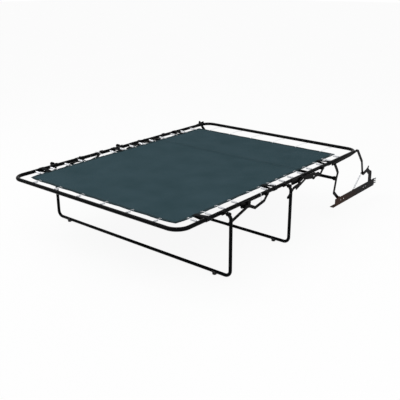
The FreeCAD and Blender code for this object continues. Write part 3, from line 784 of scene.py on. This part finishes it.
def lift_spring(name, side):
    post, pin = bed(side * SPRING_X, *POST), bed(side * SPRING_X, *REAR_LOW)
    way = (pin - post).normalized()
    lean = way.to_track_quat("Z", "X").to_matrix().to_4x4()
    neck, neck_in = 4, 1
    length = (pin - post).length / MM
    turns = int((length - 2 * POST_EYE_R - 2 * PIN_EYE_R - 2 * neck) / LIFT_PITCH)
    body = coil(LIFT_COIL_R, LIFT_WIRE_R, LIFT_PITCH, turns, steps=10, sides=6)
    body.data.transform(Matrix.Translation(post + way * (2 * POST_EYE_R + neck) * MM) @ lean)
    pieces = [body]
    for centre, radius, sign in ((post, POST_EYE_R, 1), (pin, PIN_EYE_R, -1)):
        deselect()
        bpy.ops.mesh.primitive_torus_add(location=centre, rotation=(0, math.pi / 2, 0),
                                         major_radius=radius * MM, minor_radius=LIFT_WIRE_R * MM,
                                         major_segments=24, minor_segments=6)
        pieces.append(settle())
        pieces.append(sweep(centre + way * sign * radius * MM, way * sign,
                            [("run", radius + neck + neck_in)], LIFT_WIRE_R))
    return smooth(join(name, pieces), angle=50)


for word, side in SIDES.items():
    spring = lift_spring(f"{word}_lift_coil", side)
    fit(spring, ZINC, "mount_rails")
    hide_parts(f"{word}_lift_spring")


# Camera, floor and light

CAMERA_PLACE = (2465, -2017, 1519)
CAMERA_AZIMUTH, CAMERA_ELEVATION, CAMERA_ROLL = 39.69, 20.0, -0.24
SENSOR, FOCAL_PIXELS, IMAGE_PIXELS, SIGHT = 36, 625.1, 400, 100
MIDDLE_Y = 900
FLOOR_SIZE, FLOOR_DROP, FLOOR_GRAIN, FLOOR_WHITE = 60, 0.5, 900, 0.92
FLOOR_DARK, FLOOR_LIGHT = (0.90, 0.90, 0.90), (0.93, 0.93, 0.93)
WORLD_LIGHT, WORLD_SEEN = 0.62, 1.0
LAMP_AIM = (0, MIDDLE_Y, 300)
LAMPS = (("key", (-1800, -600, 3600), 3.0, 62), ("fill", (2600, 400, 2600), 2.5, 24))


def add_camera():
    azimuth, elevation = math.radians(CAMERA_AZIMUTH), math.radians(CAMERA_ELEVATION)
    roll = math.radians(CAMERA_ROLL)
    ahead = Vector((-math.sin(azimuth) * math.cos(elevation),
                    math.cos(azimuth) * math.cos(elevation), -math.sin(elevation)))
    right = Vector((math.cos(azimuth), math.sin(azimuth), 0))
    top = right.cross(ahead)
    rolled_right = right * math.cos(roll) + top * math.sin(roll)
    rolled_top = top * math.cos(roll) - right * math.sin(roll)
    turn = Matrix((rolled_right, rolled_top, -ahead)).transposed().to_4x4()
    data = bpy.data.cameras.new("camera")
    data.sensor_width = SENSOR
    data.lens = SENSOR * FOCAL_PIXELS / IMAGE_PIXELS
    data.clip_end = SIGHT
    camera = bpy.data.objects.new("camera", data)
    camera.matrix_world = Matrix.Translation(bed(*CAMERA_PLACE)) @ turn
    scene.collection.objects.link(camera)
    scene.camera = camera


def background_rays(tree):
    """One for a ray that sees the background, straight or in metal or glass."""
    path = node(tree, "ShaderNodeLightPath")
    seen = path.outputs["Is Camera Ray"]
    for kind in ("Is Glossy Ray", "Is Transmission Ray"):
        most = node(tree, "ShaderNodeMath", operation="MAXIMUM")
        tree.links.new(seen, most.inputs[0])
        tree.links.new(path.outputs[kind], most.inputs[1])
        seen = most.outputs[0]
    return seen


def add_floor():
    deselect()
    bpy.ops.mesh.primitive_plane_add(size=FLOOR_SIZE, location=bed(0, MIDDLE_Y, -FLOOR_DROP))
    floor = settle()
    floor.name = "floor"
    material, tree, shader = new_finish("studio_floor", Roughness=0.9, Specular_IOR_Level=0.0)
    tint(tree, shader, FLOOR_GRAIN, FLOOR_DARK, FLOOR_LIGHT)
    white = node(tree, "ShaderNodeEmission")
    share = node(tree, "ShaderNodeMath", operation="MULTIPLY")
    share.inputs[1].default_value = FLOOR_WHITE
    mix = node(tree, "ShaderNodeMixShader")
    tree.links.new(background_rays(tree), share.inputs[0])
    tree.links.new(share.outputs[0], mix.inputs["Fac"])
    tree.links.new(shader.outputs["BSDF"], mix.inputs[1])
    tree.links.new(white.outputs["Emission"], mix.inputs[2])
    tree.links.new(mix.outputs["Shader"], tree.nodes["Material Output"].inputs["Surface"])
    dress(floor, material)


def add_light():
    world = bpy.data.worlds.new("studio")
    scene.world = world
    world.use_nodes = True
    tree = world.node_tree
    backdrop = tree.nodes["Background"]
    backdrop.inputs["Color"].default_value = (1, 1, 1, 1)
    strength = node(tree, "ShaderNodeMapRange", To_Min=WORLD_LIGHT, To_Max=WORLD_SEEN)
    tree.links.new(background_rays(tree), strength.inputs["Value"])
    tree.links.new(strength.outputs["Result"], backdrop.inputs["Strength"])
    for name, place, size, power in LAMPS:
        data = bpy.data.lights.new(name, "AREA")
        data.size = size
        data.energy = power
        lamp = bpy.data.objects.new(name, data)
        lamp.location = bed(*place)
        lamp.rotation_mode = "QUATERNION"
        lamp.rotation_quaternion = (bed(*LAMP_AIM) - bed(*place)).to_track_quat("-Z", "Y")
        scene.collection.objects.link(lamp)


add_camera()
add_floor()
add_light()
